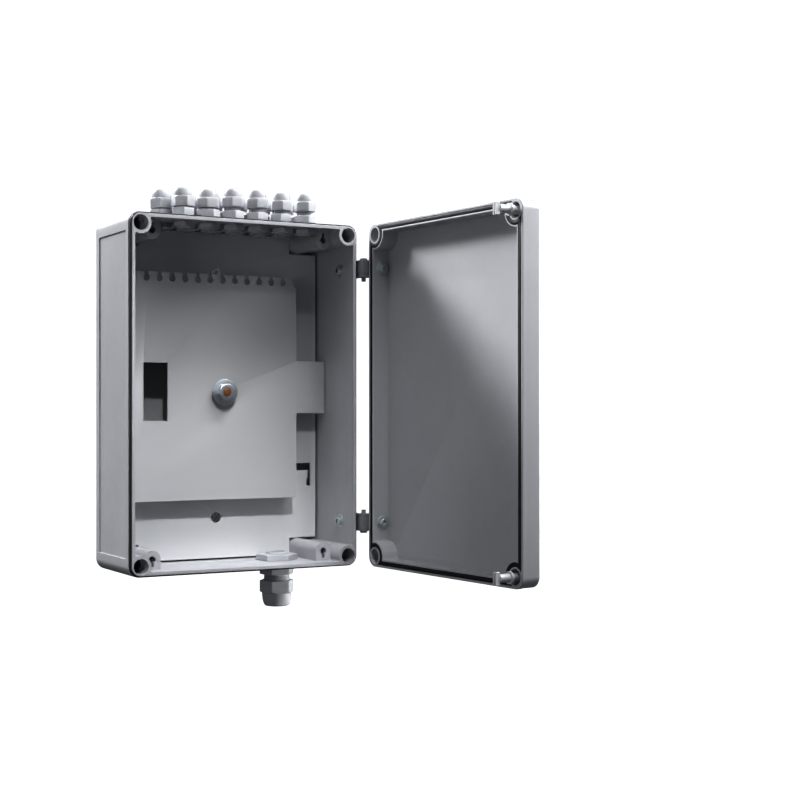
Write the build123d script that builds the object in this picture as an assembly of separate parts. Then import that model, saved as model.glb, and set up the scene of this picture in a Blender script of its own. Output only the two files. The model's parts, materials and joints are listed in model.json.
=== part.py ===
from build123d import *
import math
import os

# Wall-mounted junction box: a shallow moulded enclosure with a hinged door,
# twelve small cable glands on its top wall, one larger gland underneath,
# a mounting plate and a front cover plate with a cable comb inside.
# Row frame, millimetres: origin at the centre of the wall face, +X right,
# +Y into the wall, +Z up, so the open front of the box looks along -Y.
# "Depth" below is measured from the wall face towards the front (depth = -Y).

# ---------------------------------------------------------------- dimensions
BOX_W = 254.0            # enclosure width
BOX_H = 361.0            # enclosure height
BODY_D = 104.0           # enclosure depth, wall face to rim
CORNER_R = 11.2          # outer corner radius, concentric with the corner bores
SHOULDER_D = 98.0        # depth where the outer rebate starts
REBATE = 1.8             # rebate width around the rim
WALL = 5.2               # side wall, outer face to cavity
BACK_T = 4.0             # back wall thickness
BORE_OFF = 11.2          # corner bore centre from the outer faces
BORE_R = 7.75            # corner bore radius
BORE_FLOOR = 8.0         # depth of the corner bore floor
WALL_HOLE_R = 3.25       # wall screw holes in the bore floors
BOSS_R = 10.9            # corner column radius inside the cavity
RECESS_Z = 162.3         # half height of the recessed side panels
RECESS_D0, RECESS_D1, RECESS_T = 11.7, 90.8, 1.0

PILLAR_X, PILLAR_Z, PILLAR_R = 96.5, 165.0, 9.0   # screw channel columns
PILLAR_D = 84.0
KEY_R, KEY_SLOT, KEY_LEN = 3.5, 3.2, 7.6

DOOR_T = 22.3            # door thickness
DOOR_GAP = 0.4           # gap between the rims when closed
DOOR_FLOOR_T = 3.0
GROOVE_0, GROOVE_1, LIP = 2.4, 7.0, 8.6   # seal groove and lip, from the outer face
GROOVE_D = 5.0
HINGE_X, HINGE_D = 134.8, 103.3          # hinge axis
HINGE_Z = 134.5
DOOR_OPEN = 94.35        # door angle in the stored pose
KNUCKLE_R, KNUCKLE_OUT_R = 7.2, 6.9
PIN_R, PIN_HOLE_R = 2.42, 2.5
HINGE_SCREW_D = 75.0     # depth of the screws in the body wall
DOOR_SCREW_V = 11.5      # distance of the door screws from the door rim

LOCK_SHAFT_R = 4.0
LOCK_REACH = 24.2        # how far a lock bolt stands out of the door rim
LOCK_HEAD_L, LOCK_HEAD_W, LOCK_HEAD_T = 12.6, 5.0, 4.6

PLATE_D0, PLATE_D1 = 18.0, 21.0          # mounting plate, rear and front face
PLATE_X, PLATE_Z = 119.4, 173.5
NOTCH_X, NOTCH_Z = 87.4, 155.7
PLATE_SCREWS = [(0.0, 130.0), (0.0, -130.0), (-100.0, 9.0), (100.0, 9.0)]

COVER_D0, COVER_D1 = 38.5, 40.0          # cover plate, rear and front face
COVER_X0, COVER_X1 = -119.0, 86.5
COVER_Z0, COVER_Z1 = -110.0, 127.8
TAB_X, TAB_Z0, TAB_Z1 = 121.0, -19.0, 37.5
WIN_X0, WIN_X1, WIN_Z0, WIN_Z1 = -89.2, -62.8, -26.7, 33.6
COMB_PITCH, COMB_FIRST, COMB_COUNT = 14.2, -85.8, 13
COMB_R, COMB_SLOT, COMB_Z = 3.5, 3.2, 121.6
STUD_X, STUD_Z, STUD_R = 0.0, 3.3, 4.0

GLAND_PITCH = 27.6
GLAND_FRONT_D, GLAND_REAR_D = 80.0, 56.0
GLAND_FIRST_X = -75.9
GLAND_GAPS = [1.3, 1.4, 1.6, 1.5, 2.4, 3.9, 3.0, 4.5, 2.2, 3.9, 3.2, 4.5]
GLAND_TURN = [4, 31, 11, 2, 20, 3, 36, 7, 15, 13, 25, 24]
BIG_GLAND = (58.0, 50.0)
BIG_GAP = 6.2

HX, HZ = BOX_W / 2, BOX_H / 2
BX, BZ = HX - BORE_OFF, HZ - BORE_OFF
OUT = "parts"
os.makedirs(OUT, exist_ok=True)


# ------------------------------------------------------------------- helpers
def prism(sketch, d0, d1):
    """Extrude a sketch drawn in X, Z between two depths."""
    return extrude(Plane.XZ.offset(d0) * sketch, d1 - d0)


def rect(x0, x1, z0, z1):
    return Pos((x0 + x1) / 2, (z0 + z1) / 2) * Rectangle(abs(x1 - x0), abs(z1 - z0))


def disc(x, z, r):
    return Pos(x, z) * Circle(r)


def rrect(hx, hz, r):
    return RectangleRounded(2 * hx, 2 * hz, r)


def block(x0, x1, d0, d1, z0, z1):
    return Pos((x0 + x1) / 2, -(d0 + d1) / 2, (z0 + z1) / 2) * Box(
        abs(x1 - x0), abs(d1 - d0), abs(z1 - z0))


def rod_y(x, z, r, d0, d1):
    return prism(disc(x, z, r), d0, d1)


def rod_x(d, z, r, x0, x1):
    return Pos((x0 + x1) / 2, -d, z) * Rot(0, 90, 0) * Cylinder(r, abs(x1 - x0))


def rod_z(x, d, r, z0, z1):
    return Pos(x, -d, (z0 + z1) / 2) * Cylinder(r, abs(z1 - z0))


def spun(points):
    """Revolve an (r, z) profile about the Z axis."""
    face = make_face(Polyline(*[(r, 0, z) for r, z in points], close=True))
    return revolve(face, Axis.Z, 360)


def hexagon(af):
    return RegularPolygon(af / 2, 6, major_radius=False)


def solids(group):
    out = []
    for g in group:
        out.extend(g.solids())
    return Compound(children=list(out)) if len(out) > 1 else out[0]


def save(name, shape):
    export_step(shape, os.path.join(OUT, name + ".step"))


CORNERS = [(sx * BX, sz * BZ) for sx in (-1, 1) for sz in (-1, 1)]


def ring_contour(inset, boss_r, fillet_r=0.0):
    """Rectangle inset from the outer faces, stepped inwards round each corner bore."""
    s = rect(-HX + inset, HX - inset, -HZ + inset, HZ - inset)
    for x, z in CORNERS:
        s -= disc(x, z, boss_r)
        cx = math.copysign(HX, x)
        cz = math.copysign(HZ, z)
        s -= rect(min(x, cx), max(x, cx), min(z, cz), max(z, cz))
    if fillet_r:
        s = fillet([v for v in s.vertices()
                    if abs(abs(v.X) - (HX - inset)) < 0.01 or abs(abs(v.Y) - (HZ - inset)) < 0.01],
                   fillet_r)
    return s


# ------------------------------------------------------------ enclosure body
body = prism(rrect(HX, HZ, CORNER_R), 0, SHOULDER_D)
body = fillet(body.faces().sort_by(Axis.Y)[-1].edges(), 3.0)
body += prism(rrect(HX - REBATE, HZ - REBATE, CORNER_R - REBATE), SHOULDER_D, BODY_D)
rim_edges = body.faces().sort_by(Axis.Y)[0].outer_wire().edges()
body = fillet(rim_edges, 0.5)

cavity = ring_contour(WALL, BOSS_R, 1.6)
body -= prism(cavity, BACK_T, BODY_D + 1)

for sx in (-1, 1):
    for sz in (-1, 1):
        px, pz = sx * PILLAR_X, sz * PILLAR_Z
        col = disc(px, pz, PILLAR_R) + rect(px - PILLAR_R, px + PILLAR_R,
                                            pz, sz * (HZ - WALL + 0.5))
        col -= rect(px - 20, px + 20, sz * (HZ - WALL + 0.5), sz * (HZ + 30))
        pillar = prism(col, BACK_T - 0.5, PILLAR_D)
        key = disc(px, pz, KEY_R) + rect(px - KEY_SLOT / 2, px + KEY_SLOT / 2, pz, pz + sz * KEY_LEN)
        body += pillar
        body -= prism(key, PILLAR_D - 60, PILLAR_D + 1)

# bosses that carry the mounting plate, bored for threaded inserts
for x, z in PLATE_SCREWS:
    body += rod_y(x, z, 7.5, BACK_T - 0.5, PLATE_D0)
    body -= rod_y(x, z, 3.2, BACK_T + 1.0, PLATE_D0 + 1)

# recessed side panels
for sx in (-1, 1):
    panel = block(sx * (HX - RECESS_T), sx * (HX + 2), RECESS_D0, RECESS_D1, -RECESS_Z, RECESS_Z)
    body -= fillet(panel.edges().filter_by(Axis.X), 1.5)

# corner bores with the wall screw holes; the two bores on the lock side carry
# a slotted ledge that the hammer head of a lock bolt turns behind
for x, z in CORNERS:
    if x > 0:
        body -= rod_y(x, z, BORE_R, BORE_FLOOR, BODY_D + 1)
    else:
        body -= rod_y(x, z, BORE_R, 90.0, BODY_D + 1)
        slot = disc(x, z, 5.0) + rect(x - 3.8, x + 3.8, z - 7.2, z + 7.2)
        body -= prism(slot & disc(x, z, BORE_R), 85.2, 90.0)
        body -= rod_y(x, z, BORE_R, BORE_FLOOR, 85.2)
    body -= rod_y(x, z, WALL_HOLE_R, -1, BORE_FLOOR + 1)

GLANDS = []
for i in range(12):
    x = GLAND_FIRST_X + i * GLAND_PITCH / 2
    GLANDS.append((x, GLAND_REAR_D if i % 2 == 0 else GLAND_FRONT_D))
for x, d in GLANDS:
    body -= rod_z(x, d, 8.15, HZ - WALL - 2, HZ + 2)
body -= rod_z(BIG_GLAND[0], BIG_GLAND[1], 12.7, -HZ - 2, -HZ + WALL + 2)

for sz in (-1, 1):
    body -= rod_x(HINGE_SCREW_D, sz * HINGE_Z, 2.7, HX - WALL - 1, HX + 1)
save("enclosure_body", body)

# dark elastomer strip lying in the rebate round the rim
seal = prism(rrect(HX - 0.5, HZ - 0.5, CORNER_R - 0.5)
             - rrect(HX - REBATE, HZ - REBATE, CORNER_R - REBATE), SHOULDER_D, BODY_D - 1.0)
save("rim_seal", seal)

inserts = []
for x, z in PLATE_SCREWS:
    inserts.append(rod_y(x, z, 3.2, BACK_T + 2.0, PLATE_D0) - rod_y(x, z, 2.0, BACK_T + 1.0, PLATE_D0 + 1))
save("plate_inserts", solids(inserts))

# ------------------------------------------------------------ mounting plate
plate = rect(-PLATE_X, PLATE_X, -PLATE_Z, PLATE_Z)
for sx in (-1, 1):
    for sz in (-1, 1):
        plate -= rect(sx * NOTCH_X, sx * (PLATE_X + 2), sz * NOTCH_Z, sz * (PLATE_Z + 2))
plate = prism(plate, PLATE_D0, PLATE_D1)
for cx in (-98.0, 98.0):
    # punched window that leaves a T-shaped lug for a cable tie
    anchor = rect(cx - 15.2, cx + 15.2, -98.7, -74.0)
    anchor -= rect(cx - 11.9, cx + 11.9, -90.9, -81.7) + rect(cx - 10.4, cx + 10.4, -99.7, -90.0)
    plate -= prism(anchor, PLATE_D0 - 1, PLATE_D1 + 1)
# cable pass-through behind the cover plate's window
plate -= prism(rect(-88.0, -44.0, -36.0, 43.0), PLATE_D0 - 1, PLATE_D1 + 1)


def countersink(x, z):
    cone = Pos(x, -(PLATE_D0 + PLATE_D1) / 2, z) * Rot(90, 0, 0) * Cone(2.9, 6.6, PLATE_D1 - PLATE_D0)
    return cone


for x, z in PLATE_SCREWS:
    plate -= countersink(x, z)
    plate -= rod_y(x, z, 2.9, PLATE_D0 - 1, PLATE_D1)
plate -= rod_y(STUD_X, STUD_Z, STUD_R, PLATE_D0 - 1, PLATE_D1 + 1)
save("mounting_plate", plate)

screws = []
for x, z in PLATE_SCREWS:
    s = Pos(x, -(PLATE_D0 + PLATE_D1 - 0.4) / 2, z) * Rot(90, 0, 0) * Cone(2.45, 5.7, PLATE_D1 - PLATE_D0 - 0.4)
    s += rod_y(x, z, 2.0, BACK_T + 3.0, PLATE_D0 + 0.5)
    drive = Plane.XZ.offset(PLATE_D1 - 2.0) * (Pos(x, z) * (Rectangle(5.6, 1.3) + Rectangle(1.3, 5.6)))
    s -= extrude(drive, 3)
    screws.append(s)
save("plate_screws", solids(screws))

# --------------------------------------------------------------- cover plate
cover = rect(COVER_X0, COVER_X1, COVER_Z0, COVER_Z1) + rect(COVER_X1 - 1, TAB_X, TAB_Z0, TAB_Z1)
cover -= rect(WIN_X0, WIN_X1, WIN_Z0, WIN_Z1)
COMB = [COMB_FIRST + COMB_PITCH * k for k in range(COMB_COUNT)]
for x in COMB:
    cover -= disc(x, COMB_Z, COMB_R) + rect(x - COMB_SLOT / 2, x + COMB_SLOT / 2, COMB_Z, COVER_Z1 + 2)
cover -= disc(STUD_X, STUD_Z, STUD_R + 0.3)
cover = prism(cover, COVER_D0, COVER_D1)
if len(cover.solids()) > 1:
    cover = cover.solids().sort_by(SortBy.VOLUME)[-1]
save("cover_plate", cover)

# fixing stud, its spacer tube, bush, washer and nut
stud = rod_y(STUD_X, STUD_Z, STUD_R, PLATE_D0 - 1.2, 53.4)
stud += rod_y(STUD_X, STUD_Z, 7.0, PLATE_D0 - 3.2, PLATE_D0)
stud = chamfer(stud.edges().filter_by(GeomType.CIRCLE).sort_by(Axis.Y)[0], 0.8)
save("cover_stud", stud)
save("cover_spacer", rod_y(STUD_X, STUD_Z, 7.5, PLATE_D1, COVER_D0) - rod_y(STUD_X, STUD_Z, STUD_R + 0.05, PLATE_D1 - 1, COVER_D0 + 1))
save("cover_bush", rod_y(STUD_X, STUD_Z, 9.0, COVER_D1, 44.0) - rod_y(STUD_X, STUD_Z, STUD_R + 0.05, COVER_D1 - 1, 45.0))
washer = rod_y(STUD_X, STUD_Z, 14.0, 44.0, 45.6) - rod_y(STUD_X, STUD_Z, STUD_R + 0.2, 43.0, 46.0)
washer = fillet(washer.edges().filter_by(GeomType.CIRCLE).sort_by(SortBy.RADIUS)[-2:], 0.5)
save("cover_washer", washer)
nut = prism(Pos(STUD_X, STUD_Z) * Rot(0, 0, 8) * hexagon(17.0), 45.7, 50.9)
nut = nut & (Pos(STUD_X, -48.3, STUD_Z) * Rot(90, 0, 0) * spun([(0, -2.6), (8.4, -2.6), (9.8, -1.8), (9.8, 1.6), (8.2, 2.6), (0, 2.6)]))
nut -= rod_y(STUD_X, STUD_Z, STUD_R + 0.05, 45.0, 52.0)
save("cover_nut", nut)


# --------------------------------------------------------------------- hinges
def leaf_parts(sz):
    zc = sz * HINGE_Z
    # body leaf: foot on the enclosure side, two outer knuckles
    foot = block(HX - RECESS_T, HX + 7.2, 62.0, 90.6, zc - 9, zc + 9)
    foot += block(HX, HX + 7.2, 90.5, 95.0, zc - 9, zc + 9)
    foot = fillet(foot.edges().filter_by(Axis.X).sort_by(Axis.Y)[-2:], 3.0)
    leaf = foot
    for a, b in ((4.9, 9.0), (-9.0, -4.9)):
        leaf += block(HX + 0.9, HX + 7.2, 94.5, HINGE_D, zc + a, zc + b)
        leaf += rod_z(HINGE_X, HINGE_D, KNUCKLE_OUT_R, zc + a, zc + b)
    leaf -= rod_z(HINGE_X, HINGE_D, PIN_R, zc - 12, zc + 12)
    leaf -= rod_z(HINGE_X, HINGE_D, KNUCKLE_R + 0.3, zc - 4.9, zc + 4.9)
    leaf -= rod_x(HINGE_SCREW_D, zc, 2.5, HX - 2, HX + 5.5)
    # door leaf in the closed position: foot on the door side, centre knuckle
    rim = BODY_D + DOOR_GAP
    dl = block(HX, HX + 6.9, 111.5, 122.3, zc - 9, zc + 9)
    dl += block(HX + 0.5, HX + 6.9, HINGE_D, 111.6, zc - 4.8, zc + 4.8)
    dl += rod_z(HINGE_X, HINGE_D, KNUCKLE_R, zc - 4.8, zc + 4.8)
    dl -= rod_z(HINGE_X, HINGE_D, PIN_HOLE_R, zc - 12, zc + 12)
    dl -= rod_x(rim + DOOR_SCREW_V, zc, 2.5, HX - 2, HX + 5.2)
    # pin with its head towards the nearer end of the box
    pin = rod_z(HINGE_X, HINGE_D, PIN_R, zc - sz * 13.2, zc + sz * 9.0)
    pin += rod_z(HINGE_X, HINGE_D, 4.0, zc + sz * 9.0, zc + sz * 11.4)
    head = pin.edges().filter_by(GeomType.CIRCLE).sort_by(Axis.Z)
    pin = fillet(head[-1] if sz > 0 else head[0], 1.0)
    return leaf, dl, pin


DOOR_AXIS = Axis((HINGE_X, -HINGE_D, 0), (0, 0, 1))


def opened(shape):
    return shape.rotate(DOOR_AXIS, DOOR_OPEN)


for name, sz in (("upper", 1), ("lower", -1)):
    leaf, dl, pin = leaf_parts(sz)
    save("hinge_%s_body_leaf" % name, leaf)
    save("hinge_%s_door_leaf" % name, opened(dl))
    save("hinge_%s_pin" % name, pin)


def side_screw(d, z, x_wall, x_tip):
    s = rod_x(d, z, 4.6, x_wall - 1.2 - 3.4, x_wall - 1.2)
    s = chamfer(s.edges().filter_by(GeomType.CIRCLE).sort_by(Axis.X)[0], 0.5)
    s += rod_x(d, z, 2.5, x_wall - 1.3, x_tip)
    sock = extrude(Plane(origin=(x_wall - 4.7, -d, z), x_dir=(0, 1, 0), z_dir=(1, 0, 0)) * hexagon(4.2), 2.6)
    return s - sock


def side_washer(d, z, x_wall):
    w = rod_x(d, z, 7.0, x_wall - 1.2, x_wall)
    w = chamfer(w.edges().filter_by(GeomType.CIRCLE).sort_by(Axis.X)[0], 0.3)
    return w - rod_x(d, z, 2.5, x_wall - 2, x_wall + 1)


XW = HX - WALL
DW = HX - LIP
DSD = BODY_D + DOOR_GAP + DOOR_SCREW_V
save("hinge_body_screws", solids([side_screw(HINGE_SCREW_D, s * HINGE_Z, XW, HX + 5.0) for s in (1, -1)]))
save("hinge_body_washers", solids([side_washer(HINGE_SCREW_D, s * HINGE_Z, XW) for s in (1, -1)]))
save("hinge_door_screws", opened(solids([side_screw(DSD, s * HINGE_Z, DW, HX + 5.0) for s in (1, -1)])))
save("hinge_door_washers", opened(solids([side_washer(DSD, s * HINGE_Z, DW) for s in (1, -1)])))

# ----------------------------------------------------------------------- door
R0 = BODY_D + DOOR_GAP           # depth of the door rim
R1 = R0 + DOOR_T                 # depth of the door's outer face
door = prism(rrect(HX - 0.45, HZ - 0.45, CORNER_R - 0.45), R0, R1)
door = fillet(door.faces().sort_by(Axis.Y)[0].edges(), 3.2)
door += prism(rrect(HX, HZ, CORNER_R), R0, R0 + 5.0)
door = chamfer(door.faces().sort_by(Axis.Y)[-1].outer_wire().edges(), 0.5)
door -= prism(ring_contour(LIP, 15.4, 2.0), R0 - 1, R1 - DOOR_FLOOR_T)
groove = ring_contour(GROOVE_0, 9.4) - ring_contour(GROOVE_1, 13.9)
door -= prism(groove, R0 - 1, R0 + GROOVE_D)
for x, z in CORNERS:
    if x > 0:
        door -= rod_y(x, z, BORE_R - 0.2, R0 - 1, R1 - 6.0)
    else:
        door -= rod_y(x, z, BORE_R - 0.2, R0 - 1, R0 + 15.4)
        door -= rod_y(x, z, LOCK_SHAFT_R + 0.06, R0, R1)
        door -= rod_y(x, z, 7.2, R0 + 18.4, R1 + 1)
for sz in (-1, 1):
    door -= rod_x(DSD, sz * HINGE_Z, 2.7, DW - 1, HX + 1)
save("door_shell", opened(door))

gasket = prism(ring_contour(GROOVE_0 + 0.05, 9.45) - ring_contour(GROOVE_1 - 0.05, 13.85), BODY_D + 0.25, R0 + GROOVE_D)
save("door_gasket", opened(gasket))


# --------------------------------------------------------- quarter-turn locks
def lock(z):
    x = -BX
    tip = R0 - LOCK_REACH
    s = rod_y(x, z, 6.9, R0 + 19.7, R1 - 0.3)
    s += rod_y(x, z, LOCK_SHAFT_R, tip + LOCK_HEAD_T, R0 + 19.8)
    s += rod_y(x, z, 6.0, R0 - 7.6, R0 - 5.6)
    hammer = prism(rect(x - LOCK_HEAD_W / 2, x + LOCK_HEAD_W / 2, z - LOCK_HEAD_L / 2, z + LOCK_HEAD_L / 2)
                   & disc(x, z, LOCK_HEAD_L / 2), tip, tip + LOCK_HEAD_T + 0.1)
    s += hammer
    s -= prism(rect(x - 0.9, x + 0.9, z - 8, z + 8), tip - 1, tip + 1.8)
    s -= prism(rect(x - 4.6, x + 4.6, z - 0.9, z + 0.9), R1 - 1.9, R1 + 1)
    clip = rod_y(x, z, 6.6, R0 + 14.2, R0 + 15.3) - rod_y(x, z, LOCK_SHAFT_R, R0 + 13, R0 + 17)
    clip -= prism(rect(x - 1.6, x + 1.6, z, z + 9), R0 + 13, R0 + 17)
    ring = rod_y(x, z, 6.4, R0 + 18.4, R0 + 19.7) - rod_y(x, z, LOCK_SHAFT_R, R0 + 17, R0 + 21)
    return s, clip, ring


for name, sz in (("upper", 1), ("lower", -1)):
    s, clip, ring = lock(sz * BZ)
    save("lock_%s_bolt" % name, opened(s))
    save("lock_%s_clip" % name, opened(clip))
    save("lock_%s_seal" % name, opened(ring))


# --------------------------------------------------------------- cable glands
# Each gland is drawn about the Z axis with z = 0 on the wall's outer face.
def gland(thread_r, bore_r, af, base_z, gasket_t, wall, nut_t, nut_af, over, neck_r, neck_top,
          seal_r, seal_bore, cap_hex, cap_h, dome_r, end_r, gap, base_turn, cap_turn, cap_round):
    stem = -(wall + nut_t + over)
    b = extrude(Pos(0, 0, gasket_t) * Rot(0, 0, base_turn) * hexagon(af), base_z - gasket_t)
    b = b & spun([(0, gasket_t), (af * 0.555, gasket_t), (af * 0.555, base_z - 0.8), (af * 0.53, base_z), (0, base_z)])
    b += Pos(0, 0, (stem + gasket_t) / 2) * Cylinder(thread_r, gasket_t - stem)
    b += Pos(0, 0, (base_z + neck_top) / 2) * Cylinder(neck_r, neck_top - base_z)
    b -= Pos(0, 0, (stem + base_z) / 2) * Cylinder(bore_r, base_z - stem + 2)
    b -= Pos(0, 0, (base_z + 1 + neck_top + 1) / 2) * Cylinder(seal_r, neck_top - base_z)
    washer_ = Pos(0, 0, gasket_t / 2) * (Cylinder(af * 0.49, gasket_t) - Cylinder(thread_r, gasket_t))
    ln = extrude(Pos(0, 0, -wall - nut_t) * Rot(0, 0, 30) * hexagon(nut_af), nut_t)
    ln = ln & spun([(0, -wall - nut_t), (nut_af * 0.53, -wall - nut_t), (nut_af * 0.568, -wall - nut_t + 0.9),
                    (nut_af * 0.568, -wall), (0, -wall)])
    ln -= Pos(0, 0, -wall - nut_t / 2) * Cylinder(thread_r, nut_t + 1)
    top = neck_top + 1.2
    seal_ = spun([(seal_bore, base_z + 1), (seal_r, base_z + 1), (seal_r, neck_top), (seal_r - 0.7, top),
                  (seal_bore, top)])
    z0 = base_z + gap
    cap = extrude(Pos(0, 0, z0) * Rot(0, 0, cap_turn) * hexagon(af), cap_hex)
    cap = cap & spun([(0, z0), (cap_round - 0.6, z0), (cap_round, z0 + 0.6), (cap_round, z0 + cap_hex - 2.2),
                      (dome_r, z0 + cap_hex), (0, z0 + cap_hex)])
    n = 9
    prof = [(0, z0 + cap_hex - 0.05), (dome_r, z0 + cap_hex - 0.05)]
    hd = cap_h - cap_hex
    for k in range(1, n + 1):
        t = math.pi / 2 * k / n
        prof.append((end_r + (dome_r - end_r) * math.cos(t), z0 + cap_hex + hd * math.sin(t)))
    prof.append((0, z0 + cap_h))
    cap += spun(prof)
    inner = z0 + cap_h - (cap_h - cap_hex) * 0.85
    inner = max(inner, top + 0.3)
    cap -= spun([(0, z0 - 1), (neck_r + 0.05, z0 - 1), (neck_r + 0.05, inner), (seal_bore + 0.6, z0 + cap_h - 1.6),
                 (seal_bore + 0.6, z0 + cap_h + 1), (0, z0 + cap_h + 1)])
    return b, washer_, ln, seal_, cap


SMALL = dict(thread_r=8.0, bore_r=5.4, af=21.6, base_z=8.9, gasket_t=1.5, wall=WALL, nut_t=5.5, nut_af=22.0,
             over=1.6, neck_r=8.7, neck_top=19.0, seal_r=6.8, seal_bore=5.0, cap_hex=10.2, cap_h=19.6,
             dome_r=10.7, end_r=6.9, cap_round=11.9)
LARGE = dict(thread_r=12.5, bore_r=9.4, af=33.0, base_z=10.2, gasket_t=1.8, wall=WALL, nut_t=6.5, nut_af=39.0,
             over=2.2, neck_r=14.0, neck_top=26.5, seal_r=11.6, seal_bore=8.5, cap_hex=13.6, cap_h=27.4,
             dome_r=16.2, end_r=11.6, cap_round=18.4)

bodies, gaskets, nuts, seals = [], [], [], []
for i, (x, d) in enumerate(GLANDS):
    b, w, ln, sl, cap = gland(gap=GLAND_GAPS[i], base_turn=GLAND_TURN[(i * 5 + 3) % 12], cap_turn=GLAND_TURN[i], **SMALL)
    at = Pos(x, -d, HZ)
    bodies.append(at * b)
    gaskets.append(at * w)
    nuts.append(at * ln)
    seals.append(at * sl)
    save("gland_cap_%02d" % (i + 1), at * cap)
save("gland_bodies_top", solids(bodies))
save("gland_gaskets_top", solids(gaskets))
save("gland_locknuts_top", solids(nuts))
save("gland_seals_top", solids(seals))

b, w, ln, sl, cap = gland(gap=BIG_GAP, base_turn=12, cap_turn=12, **LARGE)
under = Pos(BIG_GLAND[0], -BIG_GLAND[1], -HZ) * Rot(180, 0, 0)
save("bottom_gland_body", under * b)
save("bottom_gland_gasket", under * w)
save("bottom_gland_locknut", under * ln)
save("bottom_gland_seal", under * sl)
save("bottom_gland_cap", under * cap)
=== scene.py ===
import json
import math

import bmesh
import bpy
from mathutils import Matrix, Vector

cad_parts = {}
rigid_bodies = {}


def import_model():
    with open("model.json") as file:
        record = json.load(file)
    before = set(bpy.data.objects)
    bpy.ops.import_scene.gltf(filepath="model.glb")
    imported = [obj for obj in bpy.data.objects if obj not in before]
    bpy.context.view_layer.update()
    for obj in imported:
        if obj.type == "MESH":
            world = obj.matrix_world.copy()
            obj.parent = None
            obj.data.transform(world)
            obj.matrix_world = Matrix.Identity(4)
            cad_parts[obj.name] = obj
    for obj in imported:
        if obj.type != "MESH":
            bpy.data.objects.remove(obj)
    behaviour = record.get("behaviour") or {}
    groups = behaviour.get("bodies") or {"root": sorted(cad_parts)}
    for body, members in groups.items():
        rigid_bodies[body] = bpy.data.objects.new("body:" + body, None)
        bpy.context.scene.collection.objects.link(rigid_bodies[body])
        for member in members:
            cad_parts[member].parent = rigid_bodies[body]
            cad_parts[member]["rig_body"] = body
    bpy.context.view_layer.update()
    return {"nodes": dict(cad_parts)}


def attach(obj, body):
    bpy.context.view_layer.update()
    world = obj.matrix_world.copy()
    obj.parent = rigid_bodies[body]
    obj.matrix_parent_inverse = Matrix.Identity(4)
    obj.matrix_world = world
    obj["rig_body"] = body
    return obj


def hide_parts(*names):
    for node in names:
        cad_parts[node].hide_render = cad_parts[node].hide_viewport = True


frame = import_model()
NODES = frame["nodes"]
MM = 0.001

# ------------------------------------------------------------------ dimensions
# millimetres; "depth" runs from the wall face towards the front, so depth = -Y
HX, HZ = 127.0, 180.5
CORNER_R = 11.2
BX, BZ = HX - 11.2, HZ - 11.2
BODY_D, DOOR_R0, DOOR_T = 104.0, 104.4, 22.3
HINGE_X, HINGE_D, HINGE_Z = 134.8, 103.3, 134.5
OPEN_DEG = 94.35
GLAND_GAPS = [1.3, 1.4, 1.6, 1.5, 2.4, 3.9, 3.0, 4.5, 2.2, 3.9, 3.2, 4.5]
GLAND_TURN = [4, 31, 11, 2, 20, 3, 36, 7, 15, 13, 25, 24]
GLANDS = [(-75.9 + 13.8 * i, 56.0 if i % 2 == 0 else 80.0) for i in range(12)]
BIG = (58.0, 50.0)
STUD_X, STUD_Z = 0.0, 3.3
PLATE_SCREWS = [(0.0, 130.0), (0.0, -130.0), (-100.0, 9.0), (100.0, 9.0)]

OPEN = (Matrix.Translation((HINGE_X, -HINGE_D, 0)) @ Matrix.Rotation(math.radians(OPEN_DEG), 4, "Z")
        @ Matrix.Translation((-HINGE_X, HINGE_D, 0)))
FRONT = Matrix.Rotation(math.radians(90), 4, "X")      # local +Z looks out of the box, along -Y


def at(x, d, z):
    return Matrix.Translation((x, -d, z))


# ------------------------------------------------------------------- materials
def lin(c):
    """sRGB 0..255 to linear."""
    out = []
    for v in c:
        v /= 255.0
        out.append(v / 12.92 if v <= 0.04045 else ((v + 0.055) / 1.055) ** 2.4)
    return out + [1.0]


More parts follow.
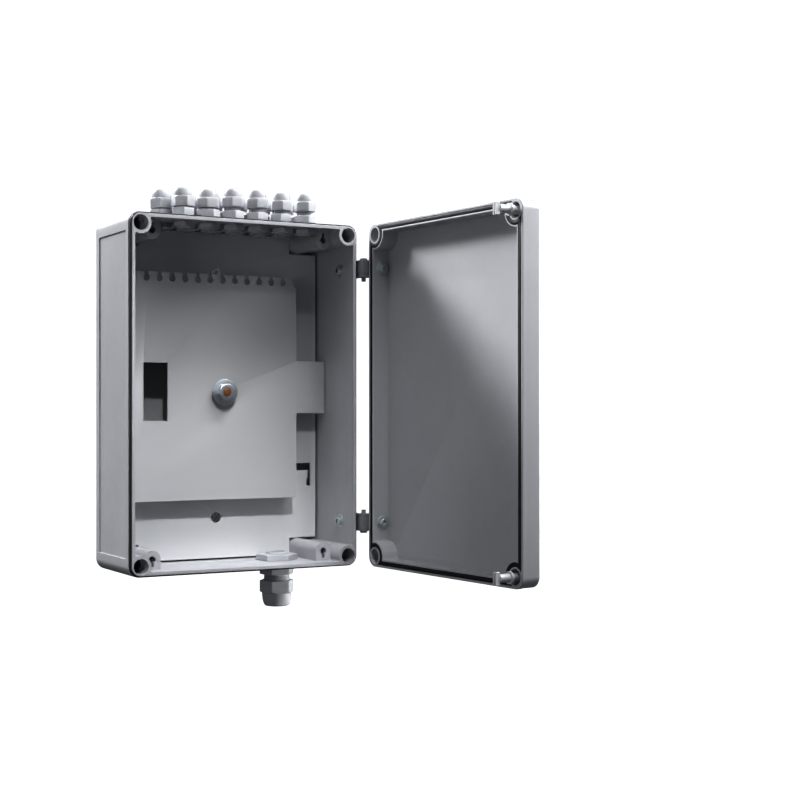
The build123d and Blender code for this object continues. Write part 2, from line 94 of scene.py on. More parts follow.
class Tree:
    def __init__(self, name):
        self.mat = bpy.data.materials.new(name)
        self.mat.use_nodes = True
        self.nt = self.mat.node_tree
        self.nt.nodes.clear()
        self.out = self.nt.nodes.new("ShaderNodeOutputMaterial")
        self.bsdf = self.nt.nodes.new("ShaderNodeBsdfPrincipled")
        self.nt.links.new(self.bsdf.outputs[0], self.out.inputs[0])
        self.coord = self.nt.nodes.new("ShaderNodeTexCoord").outputs["Object"]

    def node(self, kind, **props):
        n = self.nt.nodes.new("ShaderNode" + kind)
        for k, v in props.items():
            setattr(n, k, v)
        return n

    def link(self, a, b):
        self.nt.links.new(a, b)

    def mapped(self, scale):
        m = self.node("Mapping")
        m.inputs["Scale"].default_value = scale
        self.link(self.coord, m.inputs["Vector"])
        return m.outputs[0]

    def noise(self, scale, detail=3.0, rough=0.5, vector=None, distortion=0.0):
        n = self.node("TexNoise")
        n.inputs["Scale"].default_value = scale
        n.inputs["Detail"].default_value = detail
        n.inputs["Roughness"].default_value = rough
        n.inputs["Distortion"].default_value = distortion
        self.link(vector or self.coord, n.inputs["Vector"])
        return n.outputs["Fac"]

    def voronoi(self, scale, vector=None, feature="F1"):
        n = self.node("TexVoronoi")
        n.feature = feature
        n.inputs["Scale"].default_value = scale
        self.link(vector or self.coord, n.inputs["Vector"])
        return n.outputs["Distance"]

    def range(self, fac, a, b, c, d):
        n = self.node("MapRange")
        for i, v in enumerate((a, b, c, d)):
            n.inputs[i + 1].default_value = v
        self.link(fac, n.inputs[0])
        return n.outputs[0]

    def math(self, op, a, b):
        n = self.node("Math", operation=op)
        for i, v in enumerate((a, b)):
            if isinstance(v, (int, float)):
                n.inputs[i].default_value = v
            else:
                self.link(v, n.inputs[i])
        return n.outputs[0]

    def mix(self, fac, a, b, blend="MIX"):
        n = self.node("Mix", data_type="RGBA", blend_type=blend)
        for sock, v in ((n.inputs[0], fac), (n.inputs[6], a), (n.inputs[7], b)):
            if isinstance(v, (int, float)):
                sock.default_value = v
            elif isinstance(v, (list, tuple)):
                sock.default_value = v
            else:
                self.link(v, sock)
        return n.outputs[2]

    def bump(self, height, distance, strength=1.0, normal=None):
        n = self.node("Bump")
        n.inputs["Strength"].default_value = strength
        n.inputs["Distance"].default_value = distance
        self.link(height, n.inputs["Height"])
        if normal is not None:
            self.link(normal, n.inputs["Normal"])
        return n.outputs[0]

    def wear(self, lo=0.505, hi=0.56):
        """0 on flat faces, 1 on convex edges."""
        g = self.node("NewGeometry")
        return self.range(g.outputs["Pointiness"], lo, hi, 0.0, 1.0)


def shade(c, k):
    return [min(1.0, v * k) for v in c[:3]] + [1.0]


def moulded(name, rgb, rough=0.42, grain=2600.0, grain_depth=0.00004, mottle=0.06, edge=1.12, specular=0.5, coat=0.0):
    """Injection-moulded plastic: fine spark-eroded grain, slow colour drift, flow marks, polished edges, faint scuffs."""
    t = Tree(name)
    base = lin(rgb)
    slow = t.noise(9.0, 4.0, 0.55)
    mid = t.noise(70.0, 3.0, 0.6)
    col = t.mix(t.range(slow, 0.3, 0.7, 0.0, 1.0), shade(base, 1 - mottle), shade(base, 1 + mottle * 0.6))
    col = t.mix(t.range(mid, 0.35, 0.75, 0.0, 0.35), col, shade(base, 0.93))
    speck = t.noise(900.0, 2.0, 0.7)
    col = t.mix(t.range(speck, 0.62, 0.8, 0.0, 0.25), col, shade(base, 0.82))
    col = t.mix(t.math("MULTIPLY", t.wear(), 0.5), col, shade(base, edge))
    t.link(col, t.bsdf.inputs["Base Color"])
    scuff = t.noise(14.0, 6.0, 0.75, vector=t.mapped((1.0, 1.0, 5.0)), distortion=1.2)
    r = t.range(mid, 0.3, 0.7, rough - 0.06, rough + 0.07)
    r = t.math("ADD", r, t.range(scuff, 0.55, 0.72, 0.0, 0.10))
    r = t.math("SUBTRACT", r, t.math("MULTIPLY", t.wear(), 0.10))
    t.link(r, t.bsdf.inputs["Roughness"])
    g1 = t.noise(grain, 2.0, 0.6)
    g2 = t.voronoi(grain * 0.45)
    h = t.math("ADD", t.math("MULTIPLY", g1, 0.7), t.math("MULTIPLY", g2, 0.4))
    n1 = t.bump(h, grain_depth, 0.6)
    n2 = t.bump(slow, 0.0010, 0.12, normal=n1)
    t.link(n2, t.bsdf.inputs["Normal"])
    t.bsdf.inputs["Specular IOR Level"].default_value = specular
    if coat:
        t.bsdf.inputs["Coat Weight"].default_value = coat
        t.bsdf.inputs["Coat Roughness"].default_value = 0.25
    return t.mat


def coated(name, rgb, rough=0.38):
    """Smooth painted sheet: faint orange peel, handling marks, worn edges."""
    t = Tree(name)
    base = lin(rgb)
    slow = t.noise(6.0, 3.0, 0.5)
    col = t.mix(t.range(slow, 0.3, 0.7, 0.0, 1.0), shade(base, 0.96), shade(base, 1.03))
    smear = t.noise(22.0, 5.0, 0.7, vector=t.mapped((1.0, 1.0, 0.35)), distortion=0.8)
    col = t.mix(t.range(smear, 0.58, 0.78, 0.0, 0.3), col, shade(base, 0.90))
    col = t.mix(t.math("MULTIPLY", t.wear(0.51, 0.6), 0.6), col, shade(base, 1.15))
    t.link(col, t.bsdf.inputs["Base Color"])
    r = t.range(slow, 0.3, 0.7, rough - 0.04, rough + 0.05)
    r = t.math("ADD", r, t.range(smear, 0.55, 0.75, 0.0, 0.12))
    t.link(r, t.bsdf.inputs["Roughness"])
    peel = t.noise(520.0, 2.0, 0.5)
    fine = t.noise(2600.0, 1.0, 0.5)
    n1 = t.bump(peel, 0.00006, 0.35)
    n2 = t.bump(fine, 0.00002, 0.4, normal=n1)
    t.link(n2, t.bsdf.inputs["Normal"])
    return t.mat


def rubber(name, rgb, rough=0.62):
    t = Tree(name)
    base = lin(rgb)
    slow = t.noise(40.0, 3.0, 0.6)
    col = t.mix(t.range(slow, 0.3, 0.7, 0.0, 1.0), shade(base, 0.8), shade(base, 1.25))
    bloom = t.noise(160.0, 4.0, 0.7)
    col = t.mix(t.range(bloom, 0.6, 0.8, 0.0, 0.35), col, shade(base, 2.0))
    col = t.mix(t.math("MULTIPLY", t.wear(), 0.5), col, shade(base, 1.8))
    t.link(col, t.bsdf.inputs["Base Color"])
    t.link(t.range(bloom, 0.3, 0.7, rough - 0.1, rough + 0.12), t.bsdf.inputs["Roughness"])
    cell = t.voronoi(2400.0)
    t.link(t.bump(cell, 0.00005, 0.5), t.bsdf.inputs["Normal"])
    t.bsdf.inputs["Specular IOR Level"].default_value = 0.35
    return t.mat


def metal(name, rgb, tint, rough=0.32, grain=(900.0, 900.0, 60.0), stain=0.5):
    """Machined and plated metal: turning marks, patchy passivation tint, bright edges."""
    t = Tree(name)
    base, other = lin(rgb), lin(tint)
    patch = t.noise(190.0, 3.0, 0.6)
    col = t.mix(t.range(patch, 0.35, 0.68, 0.0, stain), base, other)
    dirt = t.noise(420.0, 4.0, 0.7)
    col = t.mix(t.range(dirt, 0.58, 0.78, 0.0, 0.45), col, shade(base, 0.55))
    col = t.mix(t.math("MULTIPLY", t.wear(), 0.6), col, shade(base, 1.35))
    t.link(col, t.bsdf.inputs["Base Color"])
    t.bsdf.inputs["Metallic"].default_value = 1.0
    r = t.range(patch, 0.3, 0.7, rough - 0.08, rough + 0.1)
    r = t.math("ADD", r, t.range(dirt, 0.5, 0.8, 0.0, 0.15))
    t.link(r, t.bsdf.inputs["Roughness"])
    line = t.noise(1.0, 3.0, 0.6, vector=t.mapped(grain))
    t.link(t.bump(line, 0.00004, 0.45), t.bsdf.inputs["Normal"])
    return t.mat


M = {
    "shell": moulded("shell_grey", (180, 181, 185), rough=0.44),
    "plate": coated("plate_grey", (206, 207, 209), rough=0.44),
    "cover": coated("cover_grey", (180, 181, 183), rough=0.40),
    "gland": moulded("gland_grey", (178, 180, 184), rough=0.46, grain=4200.0, grain_depth=0.000015, mottle=0.03, edge=1.05, specular=0.6),
    "hinge": moulded("hinge_grey", (126, 126, 131), rough=0.46, grain=2400.0, grain_depth=0.00005, mottle=0.08, edge=1.3),
    "pin": moulded("pin_grey", (136, 136, 140), rough=0.40, grain=2400.0, grain_depth=0.00004, edge=1.3),
    "lock": moulded("lock_grey", (206, 207, 211), rough=0.34, grain=3000.0, grain_depth=0.00003, mottle=0.05),
    "seal": rubber("seal_black", (38, 38, 41)),
    "rubber": rubber("rubber_dark", (46, 46, 49), rough=0.55),
    "washer": rubber("rubber_grey", (196, 197, 201), rough=0.5),
    "zinc": metal("zinc", (198, 202, 206), (160, 169, 188), rough=0.42),
    "screw": metal("zinc_screw", (206, 214, 214), (160, 178, 176), rough=0.40),
    "steel": metal("steel", (186, 188, 190), (150, 152, 158), rough=0.26),
    "brass": metal("brass", (190, 140, 100), (132, 84, 52), rough=0.38, stain=0.8),
}


# --------------------------------------------------------------- mesh building
def sharpen(bm, angle=32.0):
    lim = math.radians(angle)
    for f in bm.faces:
        f.smooth = True
    for e in bm.edges:
        e.smooth = not (len(e.link_faces) != 2 or e.calc_face_angle(0.0) > lim)


def finish_piece(bm, name, mat, body, nodes=(), scale=MM, angle=32.0):
    bmesh.ops.recalc_face_normals(bm, faces=bm.faces)
    sharpen(bm, angle)
    bmesh.ops.scale(bm, vec=(scale,) * 3, verts=bm.verts)
    me = bpy.data.meshes.new(name)
    bm.to_mesh(me)
    bm.free()
    me.materials.append(M[mat])
    ob = bpy.data.objects.new(name, me)
    bpy.context.scene.collection.objects.link(ob)
    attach(ob, body)
    if nodes:
        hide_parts(*nodes)
    return ob


def merge(target, part, matrix=None):
    """Append one bmesh to another, moved by matrix."""
    if matrix is not None:
        bmesh.ops.transform(part, matrix=matrix, verts=part.verts)
    vmap = {}
    for v in part.verts:
        vmap[v] = target.verts.new(v.co)
    for f in part.faces:
        target.faces.new([vmap[v] for v in f.verts])
    part.free()
    return target


def polar(profile, seg=64, closed=True):
    """A solid of revolution whose profile may change with the angle. profile(a) gives (r, z) points, always the
    same number of them. A closed profile is a ring; an open one starts and ends on the axis."""
    bm = bmesh.new()
    rows = []
    for k in range(seg):
        a = 2 * math.pi * k / seg
        pts = profile(a)
        rows.append([(r * math.cos(a), r * math.sin(a), z) for r, z in pts])
    n = len(rows[0])
    if closed:
        grid = [[bm.verts.new(p) for p in row] for row in rows]
        for k in range(seg):
            a, b = grid[k], grid[(k + 1) % seg]
            for j in range(n):
                i = (j + 1) % n
                bm.faces.new((a[j], b[j], b[i], a[i]))
    else:
        first, last = bm.verts.new((0, 0, rows[0][0][2])), bm.verts.new((0, 0, rows[0][-1][2]))
        grid = [[bm.verts.new(p) for p in row[1:-1]] for row in rows]
        m = n - 2
        for k in range(seg):
            a, b = grid[k], grid[(k + 1) % seg]
            bm.faces.new((first, b[0], a[0]))
            for j in range(m - 1):
                bm.faces.new((a[j], b[j], b[j + 1], a[j + 1]))
            bm.faces.new((a[-1], b[-1], last))
    return bm


def hexr(a, af, turn, limit):
    """Radius of a hexagon at an angle, its corners turned down to limit, softly rounded."""
    phi = math.fmod(a - math.radians(turn), math.radians(60))
    if phi < 0:
        phi += math.radians(60)
    phi = abs(phi - math.radians(30))
    r = af / 2 / math.cos(phi)
    k = 0.14
    d = r - limit
    # smooth minimum of r and limit
    h = max(k - abs(d), 0.0) / k
    return min(r, limit) - h * h * k * 0.25


def wave(x):
    """Rounded 60-degree thread form, 0 at the root and 1 at the crest."""
    x = x - math.floor(x)
    t = 1 - abs(2 * x - 1)
    return min(1.0, max(0.0, (t - 0.12) / 0.76))


def threaded(r_major, depth, pitch, z0, z1, steps=8, run=0.6, phase=0.0):
    """Profile points of a helical thread between two heights, fading out at its ends."""
    n = max(4, int(abs(z1 - z0) / pitch * steps))

    def pts(a):
        out = []
        for k in range(n + 1):
            z = z0 + (z1 - z0) * k / n
            edge = min(1.0, min(abs(z - z0), abs(z1 - z)) / (run * pitch))
            w = wave(z / pitch - a / (2 * math.pi) + phase)
            out.append((r_major - depth * (1 - w * edge), z))
        return out
    return pts


def arc(c, r, a0, a1, n):
    return [(c[0] + r * math.cos(math.radians(a0 + (a1 - a0) * k / n)),
             c[1] + r * math.sin(math.radians(a0 + (a1 - a0) * k / n))) for k in range(n + 1)]


def contour_sweep(contour, profile):
    """Sweep a closed (inset, depth) profile round a contour. contour(inset) gives (x, z) points, always the same number."""
    bm = bmesh.new()
    rings = []
    for inset, d in profile:
        rings.append([bm.verts.new((x, -d, z)) for x, z in contour(inset)])
    n = len(rings[0])
    for j in range(len(rings)):
        a, b = rings[j], rings[(j + 1) % len(rings)]
        for k in range(n):
            i = (k + 1) % n
            bm.faces.new((a[k], a[i], b[i], b[k]))
    return bm


def rounded_rect(inset):
    r = CORNER_R - inset
    pts = []
    for cx, cz, a0 in ((BX, BZ, 0), (-BX, BZ, 90), (-BX, -BZ, 180), (BX, -BZ, 270)):
        pts += arc((cx, cz), r, a0, a0 + 90, 12)
    # straight runs are split so that shading and baking stay even
    out = []
    for k, p in enumerate(pts):
        q = pts[(k + 1) % len(pts)]
        out.append(p)
        if math.hypot(q[0] - p[0], q[1] - p[1]) > 40:
            for s in range(1, 8):
                out.append((p[0] + (q[0] - p[0]) * s / 8, p[1] + (q[1] - p[1]) * s / 8))
    return out


def seal_contour(inset):
    """Rectangle inset from the outer faces that steps inwards round each corner column."""
    r = 7.0 + inset
    h = 11.2 - inset
    out = []
    for sx, sz in ((1, 1), (-1, 1), (-1, -1), (1, -1)):
        # in the first quadrant: starts on the right run (x = HX - inset), below the column, ends on the top run
        start = math.degrees(math.atan2(-math.sqrt(r * r - h * h), h))
        end = math.degrees(math.atan2(h, -math.sqrt(r * r - h * h)))
        pts = arc((0.0, 0.0), r, start, end - 360, 16)
        pts = [(BX + x, BZ + z) for x, z in pts]
        if sx * sz < 0:
            pts = pts[::-1]
        out += [(sx * x, sz * z) for x, z in pts]
    full = []
    for k, p in enumerate(out):
        q = out[(k + 1) % len(out)]
        full.append(p)
        if math.hypot(q[0] - p[0], q[1] - p[1]) > 40:
            for s in range(1, 8):
                full.append((p[0] + (q[0] - p[0]) * s / 8, p[1] + (q[1] - p[1]) * s / 8))
    return full


def from_cad(node, name, mat, bevel=0.3, segments=2, limit=38.0, smooth=32.0):
    """A cleaned copy of a CAD node with softened edges, standing for that node."""
    src = NODES[node]
    bm = bmesh.new()
    bm.from_mesh(src.data)
    bmesh.ops.remove_doubles(bm, verts=bm.verts, dist=2e-6)
    bmesh.ops.dissolve_degenerate(bm, dist=1e-6, edges=bm.edges)
    bmesh.ops.dissolve_limit(bm, angle_limit=math.radians(0.6), verts=bm.verts, edges=bm.edges)
    bmesh.ops.recalc_face_normals(bm, faces=bm.faces)
    body = src["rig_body"]
    ob = finish_piece(bm, name, mat, body, (node,), scale=1.0, angle=smooth)
    if bevel:
        m = ob.modifiers.new("edges", "BEVEL")
        m.width = bevel * MM
        m.segments = segments
        m.limit_method = "ANGLE"
        m.angle_limit = math.radians(limit)
        m.use_clamp_overlap = True
        m.harden_normals = True
        m.miter_outer = "MITER_ARC"
    return ob


# ------------------------------------------------------------ shells and plates
from_cad("enclosure_body", "enclosure_shell", "shell", bevel=0.35)
from_cad("door_shell", "door_moulding", "shell", bevel=0.35)
from_cad("mounting_plate", "mounting_plate_sheet", "plate", bevel=0.25)
from_cad("cover_plate", "cover_plate_sheet", "cover", bevel=0.2)

# dark strip round the body rim: a rounded black bead laid in the rebate, which makes the rebate band read dark
bead = [(1.78, 98.05), (0.75, 98.05), (0.6, 98.4), (0.52, 99.2), (0.5, 100.4), (0.52, 101.6), (0.62, 102.5), (0.85, 102.95), (1.78, 102.97)]
finish_piece(contour_sweep(rounded_rect, bead), "rim_dark_bead", "seal", "enclosure", ["rim_seal"])

# door gasket: a foam cord that fills the groove and crowns out of it
g0, g1 = DOOR_R0 + 4.95, 104.27
crown = [(2.47, g0), (2.47, 105.6), (2.62, 105.0), (3.1, 104.55), (3.9, 104.32), (4.7, g1), (5.5, 104.32), (6.3, 104.55),
         (6.78, 105.0), (6.93, 105.6), (6.93, g0)]
bm = contour_sweep(seal_contour, crown)
bmesh.ops.transform(bm, matrix=OPEN, verts=bm.verts)
finish_piece(bm, "door_gasket_cord", "seal", "door", ["door_gasket"])


# ----------------------------------------------------------------------- glands
def gland_pieces(p, gap, base_turn, cap_turn, seg=72):
    stem = -(p["wall"] + p["nut_t"] + p["over"])
    tr, af, gt, bz, nt = p["thread_r"], p["af"], p["gasket_t"], p["base_z"], p["neck_top"]
    thread = threaded(tr - 0.04, p["tdepth"], 1.5, stem + 0.8, gt - 0.25, steps=8)
    neck = threaded(p["neck_r"] - 0.05, p["tdepth"], 1.5, bz + 0.9, nt - 1.2, steps=8)

    def base(a):
        r = hexr(a, af, base_turn, af * 0.571)
        pts = [(p["bore_r"], stem), (tr - 1.0, stem), (tr - 0.8, stem + 0.3)]
        pts += thread(a)
        pts += [(tr - 0.3, gt - 0.1), (tr - 0.1, gt), (r - 0.7, gt), (r - 0.2, gt + 0.2), (r, gt + 0.7)]
        top = bz - max(0.0, (r - af * 0.5) * 0.30) - 0.15
        pts += [(r, top - 0.35), (r - 0.12, top), (af * 0.5 - 0.6, bz)]
        pts += [(p["neck_r"] - 0.4, bz + 0.02), (p["neck_r"] - 0.7, bz + 0.5)]
        pts += neck(a)
        pts += [(p["neck_r"] - 0.8, nt - 0.6), (p["neck_r"] - 1.1, nt), (p["seal_r"] + 0.05, nt), (p["seal_r"] + 0.05, bz + 0.95), (p["bore_r"], bz + 0.95)]
        return pts

    def washer(a):
        ro, ri = af * 0.49, tr + 0.02
        return [(ri, 0.02), (ro - 0.3, 0.02), (ro, 0.35), (ro + 0.0, gt - 0.35), (ro - 0.3, gt - 0.02), (ri, gt - 0.02)]

    def nut(a):
        naf = p["nut_af"]
        r = hexr(a, naf, 22, naf * 0.573)
        top, bot = -p["wall"] - 0.02, -p["wall"] - p["nut_t"]
        ch = max(0.0, (r - naf * 0.5) * 0.2)
        ri = tr + 0.02
        return [(ri + 0.5, bot), (naf * 0.46, bot), (naf * 0.5 - 0.35, bot + 0.08), (r - 0.12, bot + ch + 0.2), (r, bot + ch + 0.42),
                (r, top - 0.7), (r - 0.05, top - 0.4), (naf * 0.5 - 0.3, top - 0.05), (naf * 0.45, top), (ri, top), (ri, bot + 0.5)]

    def cap(a):
        z0 = bz + gap
        ch, hh = p["cap_h"], p["cap_hex"]
        r = hexr(a, af, cap_turn, p["cap_round"])
        dome_r, end_r = p["dome_r"] - 0.12, p["end_r"]
        rin = p["neck_r"] + 0.08
        zc = z0 + hh - max(0.0, r - p["dome_r"]) * 0.62
        pts = [(rin, z0), (rin + 0.35, z0), (r - 0.55, z0), (r - 0.15, z0 + 0.14), (r, z0 + 0.5)]
        pts += [(r, z0 + 0.5 + (zc - z0 - 1.1) * t) for t in (0.33, 0.66)]
        pts += [(r, zc - 0.34), (r - 0.10, zc - 0.08), (max(dome_r + 0.05, r - 0.35), zc + 0.10)]
        pts += [(dome_r + 0.02, z0 + hh + 0.05)]
        hd = ch - hh
        for k in range(1, 13):
            t = math.pi / 2 * k / 12
            pts.append((end_r + (dome_r - end_r) * math.cos(t), z0 + hh + 0.05 + (hd - 0.1) * math.sin(t)))
        lip = p["seal_bore"] + 0.62
        pts += [(lip + 0.55, z0 + ch - 0.02), (lip + 0.12, z0 + ch - 0.18), (lip, z0 + ch - 0.6), (lip, z0 + ch - 1.6)]
        inner = max(z0 + ch - (ch - hh) * 0.85, nt + 1.5)
        inner = min(inner, z0 + ch - 2.0)
        pts += [(lip + (rin - lip) * 0.55, (inner + z0 + ch - 1.6) / 2 + 0.2), (rin, inner), (rin, (inner + z0) / 2)]
        return pts

    fingers = 10

    def seal(a):
        r1, rs = p["seal_r"] - 0.04, p["seal_bore"] + 0.02
        top = nt + 1.15
        s = abs(math.fmod(a * fingers / (2 * math.pi), 1.0) - 0.5) * 2
        cut = 1.0 if s > 0.14 else 0.0
        zt = top - (1 - cut) * 1.6
        return [(rs, bz + 1.02), (r1, bz + 1.02), (r1, nt - 0.8), (r1 - 0.1, nt), (r1 - 0.75, zt - 0.05), (r1 - 0.95, zt),
                (rs + 0.35, zt), (rs + 0.05, zt - 0.15), (rs, zt - 0.5), (rs, nt - 2.0)]

    return (polar(base, seg), polar(washer, 48), polar(nut, seg), polar(seal, 60), polar(cap, seg))


SMALL = dict(thread_r=8.0, tdepth=0.75, bore_r=5.4, af=21.6, base_z=8.9, gasket_t=1.5, wall=5.2, nut_t=5.5, nut_af=22.0,
             over=1.6, neck_r=8.7, neck_top=19.0, seal_r=6.8, seal_bore=5.0, cap_hex=10.2, cap_h=19.6,
             dome_r=10.55, end_r=6.9, cap_round=12.32)
LARGE = dict(thread_r=12.5, tdepth=0.8, bore_r=9.4, af=33.0, base_z=10.2, gasket_t=1.8, wall=5.2, nut_t=6.5, nut_af=39.0,
             over=2.2, neck_r=14.0, neck_top=26.5, seal_r=11.6, seal_bore=8.5, cap_hex=13.6, cap_h=27.4,
             dome_r=15.9, end_r=11.6, cap_round=18.8)

groups = [bmesh.new() for _ in range(4)]
for i, (x, d) in enumerate(GLANDS):
    b, w, n, s, cap = gland_pieces(SMALL, GLAND_GAPS[i], GLAND_TURN[(i * 5 + 3) % 12], GLAND_TURN[i])
    where = at(x, d, HZ)
    for g, part in zip(groups, (b, w, n, s)):
        merge(g, part, where)
    bmesh.ops.transform(cap, matrix=where, verts=cap.verts)
    finish_piece(cap, "cap_nut_%02d" % (i + 1), "gland", "cap_%02d" % (i + 1), ["gland_cap_%02d" % (i + 1)], angle=26)
finish_piece(groups[0], "gland_bases", "gland", "enclosure", ["gland_bodies_top"], angle=26)
finish_piece(groups[1], "gland_washers", "washer", "enclosure", ["gland_gaskets_top"])
finish_piece(groups[2], "gland_locknuts", "gland", "enclosure", ["gland_locknuts_top"], angle=26)
finish_piece(groups[3], "gland_seal_sleeves", "rubber", "enclosure", ["gland_seals_top"])

under = at(BIG[0], BIG[1], -HZ) @ Matrix.Rotation(math.pi, 4, "X")
b, w, n, s, cap = gland_pieces(LARGE, 6.2, 12, 12, seg=96)
for part, name, mat, body, node in ((b, "large_gland_base", "gland", "enclosure", "bottom_gland_body"),
                                    (w, "large_gland_washer", "washer", "enclosure", "bottom_gland_gasket"),
                                    (n, "large_gland_locknut", "gland", "enclosure", "bottom_gland_locknut"),
                                    (s, "large_gland_seal_sleeve", "rubber", "enclosure", "bottom_gland_seal"),
                                    (cap, "large_cap_nut", "gland", "bottom_cap", "bottom_gland_cap")):
    bmesh.ops.transform(part, matrix=under, verts=part.verts)
    finish_piece(part, name, mat, body, [node], angle=26)

# --------------------------------------------------------- cover plate fixing
stud_at = at(STUD_X, 0, STUD_Z) @ FRONT


def stud(a):
    t = threaded(3.96, 0.55, 1.25, 41.0, 52.6, steps=8)(a)
    return ([(0, 15.0), (6.6, 15.0), (6.95, 15.3), (6.95, 17.6), (6.6, 17.95), (3.96, 18.0), (3.96, 40.5)] + t
            + [(3.2, 52.9), (2.9, 53.3), (0, 53.38)])


finish_piece(polar(stud, 48, closed=False), "fixing_stud", "brass", "enclosure", ["cover_stud"])


def ring(r0, r1, z0, z1, c=0.4):
    return lambda a: [(r0, z0 + c * 0.5), (r0 + c * 0.5, z0), (r1 - c, z0), (r1 - c * 0.3, z0 + c * 0.3), (r1, z0 + c), (r1, z1 - c),
                      (r1 - c * 0.3, z1 - c * 0.3), (r1 - c, z1), (r0 + c * 0.5, z1), (r0, z1 - c * 0.5)]


for name, fn, mat, body, node in (("fixing_spacer", ring(4.05, 7.48, 21.02, 38.48, 0.5), "steel", "enclosure", "cover_spacer"),
                                  ("fixing_bush", ring(4.05, 8.95, 40.02, 43.98, 0.6), "rubber", "enclosure", "cover_bush"),
                                  ("fixing_washer", ring(4.2, 13.95, 44.02, 45.58, 0.45), "zinc", "enclosure", "cover_washer")):
    bm = polar(fn, 72)
    bmesh.ops.transform(bm, matrix=stud_at, verts=bm.verts)
    finish_piece(bm, name, mat, body, [node])


def fixing_nut(a):
    r = hexr(a, 17.0, 8, 9.7)
    c0 = max(0.0, (r - 8.4)) * 0.58
    return [(4.05, 46.1), (4.5, 45.72), (7.9, 45.72), (8.3, 45.8), (r - 0.05, 45.85 + c0), (r, 46.1 + c0), (r, 50.4 - c0), (r - 0.08, 50.65 - c0),
            (8.25, 50.78), (7.8, 50.88), (4.9, 50.88), (4.05, 50.3)]


bm = polar(fixing_nut, 72)
bmesh.ops.transform(bm, matrix=stud_at, verts=bm.verts)
finish_piece(bm, "fixing_nut", "zinc", "cover_nut", ["cover_nut"])
st = bpy.data.objects["fixing_stud"]
st.data.transform(Matrix.Scale(MM, 4) @ stud_at @ Matrix.Scale(1 / MM, 4))

# ------------------------------------------------ hinges, locks, screws, inserts
for n in ("upper", "lower"):
    from_cad("hinge_%s_body_leaf" % n, "hinge_%s_fixed_leaf" % n, "hinge", bevel=0.45, segments=3)
    from_cad("hinge_%s_door_leaf" % n, "hinge_%s_moving_leaf" % n, "hinge", bevel=0.45, segments=3)
    from_cad("hinge_%s_pin" % n, "hinge_%s_pivot_pin" % n, "pin", bevel=0.2)
    from_cad("lock_%s_bolt" % n, "lock_%s_turn_bolt" % n, "lock", bevel=0.35, segments=3)
    from_cad("lock_%s_clip" % n, "lock_%s_snap_ring" % n, "steel", bevel=0.1)
    from_cad("lock_%s_seal" % n, "lock_%s_ring_seal" % n, "rubber", bevel=0.25)
from_cad("hinge_body_screws", "hinge_screws_body_side", "screw", bevel=0.2)
from_cad("hinge_body_washers", "hinge_washers_body_side", "screw", bevel=0.15)
from_cad("hinge_door_screws", "hinge_screws_door_side", "screw", bevel=0.2)
from_cad("hinge_door_washers", "hinge_washers_door_side", "screw", bevel=0.15)
from_cad("plate_screws", "countersunk_screws", "steel", bevel=0.15)
from_cad("plate_inserts", "threaded_inserts", "brass", bevel=0.15)

# ------------------------------------------------------------------ the studio
scene = bpy.context.scene
scene.view_settings.view_transform = "Standard"
scene.view_settings.look = "None"
scene.view_settings.exposure = 0.0
scene.view_settings.gamma = 1.0 / 1.4

F_PX, CX_PX, CY_PX, YAW = 1468.666, 352.602, 408.653, math.radians(28.77)
cam_data = bpy.data.cameras.new("camera")
cam_data.sensor_width = 36.0
cam_data.sensor_fit = "HORIZONTAL"
cam_data.lens = F_PX * 36.0 / 800.0
cam_data.shift_x = (400 - CX_PX) / 800.0
cam_data.shift_y = (CY_PX - 400) / 800.0
cam_data.clip_start, cam_data.clip_end = 0.05, 60
cam = bpy.data.objects.new("camera", cam_data)
scene.collection.objects.link(cam)
cam.location = (-0.627627, -1.467347, -0.013911)
cam.rotation_euler = (math.radians(90), 0, -YAW)
scene.camera = cam

world = bpy.data.worlds.new("studio")
scene.world = world
world.use_nodes = True
wn = world.node_tree
wn.nodes.clear()
wo = wn.nodes.new("ShaderNodeOutputWorld")
mixw = wn.nodes.new("ShaderNodeMixShader")
path = wn.nodes.new("ShaderNodeLightPath")
b_cam = wn.nodes.new("ShaderNodeBackground")
b_amb = wn.nodes.new("ShaderNodeBackground")
b_cam.inputs[0].default_value = (1, 1, 1, 1)
b_cam.inputs[1].default_value = 1.05
b_amb.inputs[0].default_value = (0.92, 0.95, 1.0, 1)
b_amb.inputs[1].default_value = 0.12
wn.links.new(path.outputs["Is Camera Ray"], mixw.inputs[0])
wn.links.new(b_amb.outputs[0], mixw.inputs[1])
wn.links.new(b_cam.outputs[0], mixw.inputs[2])
wn.links.new(mixw.outputs[0], wo.inputs[0])

# pale floor that curves up into a backdrop far behind the box
FLOOR_Z = -1.1


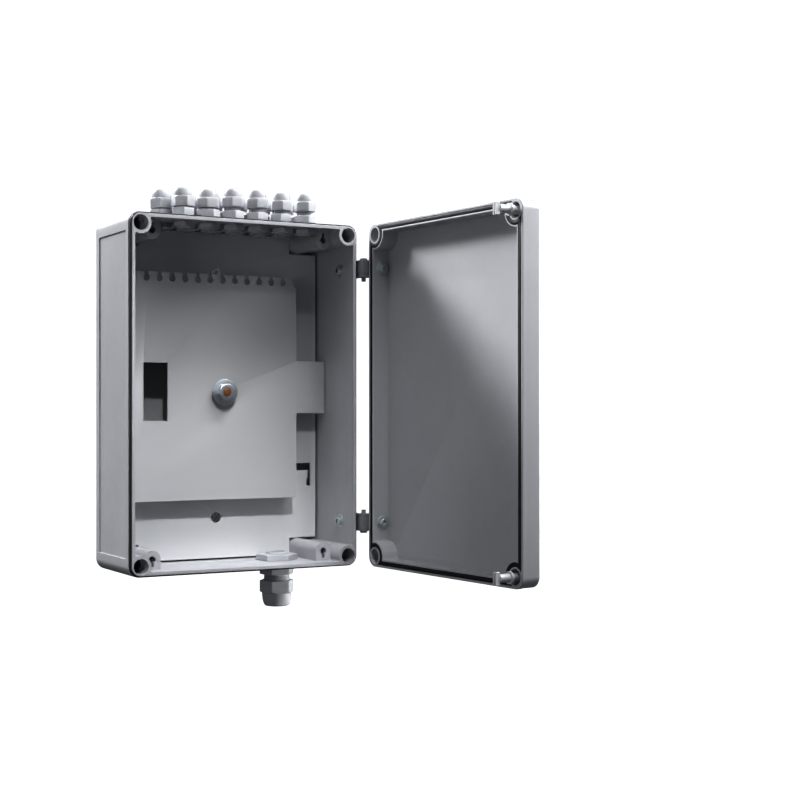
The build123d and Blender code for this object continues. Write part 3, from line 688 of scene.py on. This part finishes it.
def backdrop():
    bm = bmesh.new()
    prof = [(-5.0, FLOOR_Z)]
    prof += [(3.0 + 2.0 * math.sin(math.pi / 2 * k / 16), FLOOR_Z + 2.0 - 2.0 * math.cos(math.pi / 2 * k / 16)) for k in range(17)]
    prof += [(5.0, 5.0)]
    yaw = Matrix.Rotation(-YAW, 4, "Z")
    rows = []
    for x in (-7.0, -3.5, 0.0, 3.5, 7.0):
        rows.append([bm.verts.new(yaw @ Vector((x, y, z))) for y, z in prof])
    for a, b in zip(rows, rows[1:]):
        for j in range(len(prof) - 1):
            bm.faces.new((a[j], b[j], b[j + 1], a[j + 1]))
    for f in bm.faces:
        f.smooth = True
    me = bpy.data.meshes.new("floor")
    bm.to_mesh(me)
    bm.free()
    t = Tree("pale_floor")
    base = (0.86, 0.86, 0.86, 1)
    v = t.noise(3.0, 3.0, 0.5)
    t.link(t.mix(t.range(v, 0.3, 0.7, 0.0, 1.0), base, (0.9, 0.9, 0.9, 1)), t.bsdf.inputs["Base Color"])
    t.bsdf.inputs["Roughness"].default_value = 0.85
    t.bsdf.inputs["Specular IOR Level"].default_value = 0.1
    t.bsdf.inputs["Emission Color"].default_value = (1, 1, 1, 1)
    t.bsdf.inputs["Emission Strength"].default_value = 0.93
    me.materials.append(t.mat)
    ob = bpy.data.objects.new("floor", me)
    scene.collection.objects.link(ob)
    ob.visible_diffuse = False
    ob.visible_glossy = False
    return ob


backdrop()



def around(az, el, reach, aim=(0.05, -0.15, 0.0)):
    """A place seen from the aim at a bearing (0 = straight in front, 90 = right) and a height angle."""
    a, b = math.radians(az), math.radians(el)
    return (aim[0] + reach * math.sin(a) * math.cos(b), aim[1] - reach * math.cos(a) * math.cos(b), aim[2] + reach * math.sin(b))


def lamp(name, kind, place, aim, size, watts, cone=0.0):
    ld = bpy.data.lights.new(name, kind)
    if kind == "AREA":
        ld.shape = "RECTANGLE"
        ld.size, ld.size_y = size, size
    else:
        ld.spot_size, ld.spot_blend, ld.shadow_soft_size = math.radians(cone), 1.0, size
    ld.energy = watts
    lo = bpy.data.objects.new(name, ld)
    scene.collection.objects.link(lo)
    lo.location = place
    lo.rotation_mode = "QUATERNION"
    lo.rotation_quaternion = (Vector(aim) - Vector(place)).to_track_quat("-Z", "Y")
    lo.visible_camera = False


CENTRE = (0.05, -0.15, 0.0)
# softboxes: name, bearing, height, distance, size, watts
for name, az, el, reach, size, watts in (
        ("key_overhead", 30, 70, 2.0, 0.50, 29.0),
        ("key_front", 15, 65, 2.0, 0.35, 6.0),
        ("top_left", -60, 70, 2.0, 0.40, 8.5),
        ("right_high", 60, 40, 2.0, 0.35, 18.0),
        ("right_near", 40, 40, 1.2, 0.40, 3.2),
        ("rear_left_a", -143, 38, 2.0, 0.25, 34.0),
        ("rear_left_b", -154, 38, 2.0, 0.25, 28.0),
        ("rear_left_c", -165, 46, 2.0, 0.25, 18.0),
        ("rear_left_near", -150, 40, 1.0, 0.25, 1.5),
        ("left_high", -110, 35, 2.0, 0.60, 1.2),
        ("left_low", -110, 5, 2.0, 0.60, 1.0),
        ("front_left", -60, 0, 2.0, 0.70, 4.6),
        ("right_side", 90, 0, 2.0, 0.60, 14.0),
        ("rear_right", 120, 5, 2.0, 0.40, 9.0),
        ("right_below", 100, -25, 2.0, 0.40, 7.0)):
    lamp(name, "AREA", around(az, el, reach), CENTRE, size, watts)
# snooted spots on the inside of the box: name, bearing, height, aim, cone, watts
for name, az, el, aim, cone, watts in (
        ("snoot_lower_right", -14, 46, (0.07, -0.03, -0.155), 6.5, 250.0),
        ("snoot_lower_left", -14, 46, (-0.05, -0.02, -0.188), 4.5, 530.0),
        ("snoot_middle_left", 60, 48, (-0.13, -0.04, -0.03), 7, 170.0),
        ("snoot_upper_glands", 118, 16, (-0.01, -0.068, 0.2), 9, 130.0),
        ("snoot_door_patch", -143, 38, (0.135, -0.31, 0.10), 14, 80.0),
        ("snoot_door_low", -60, 4, (0.135, -0.30, -0.11), 16, 9.0),
        ("snoot_door_edge", 75, 20, (0.14, -0.36, 0.07), 19, 135.0)):
    lamp(name, "SPOT", around(az, el, 2.0, aim), aim, 0.15, watts, cone)
BELOW = (0.058, -0.05, -0.205)
lamp("snoot_lower_gland", "SPOT", around(58, -3, 2.0, BELOW), BELOW, 0.03, 170.0, 4.2)
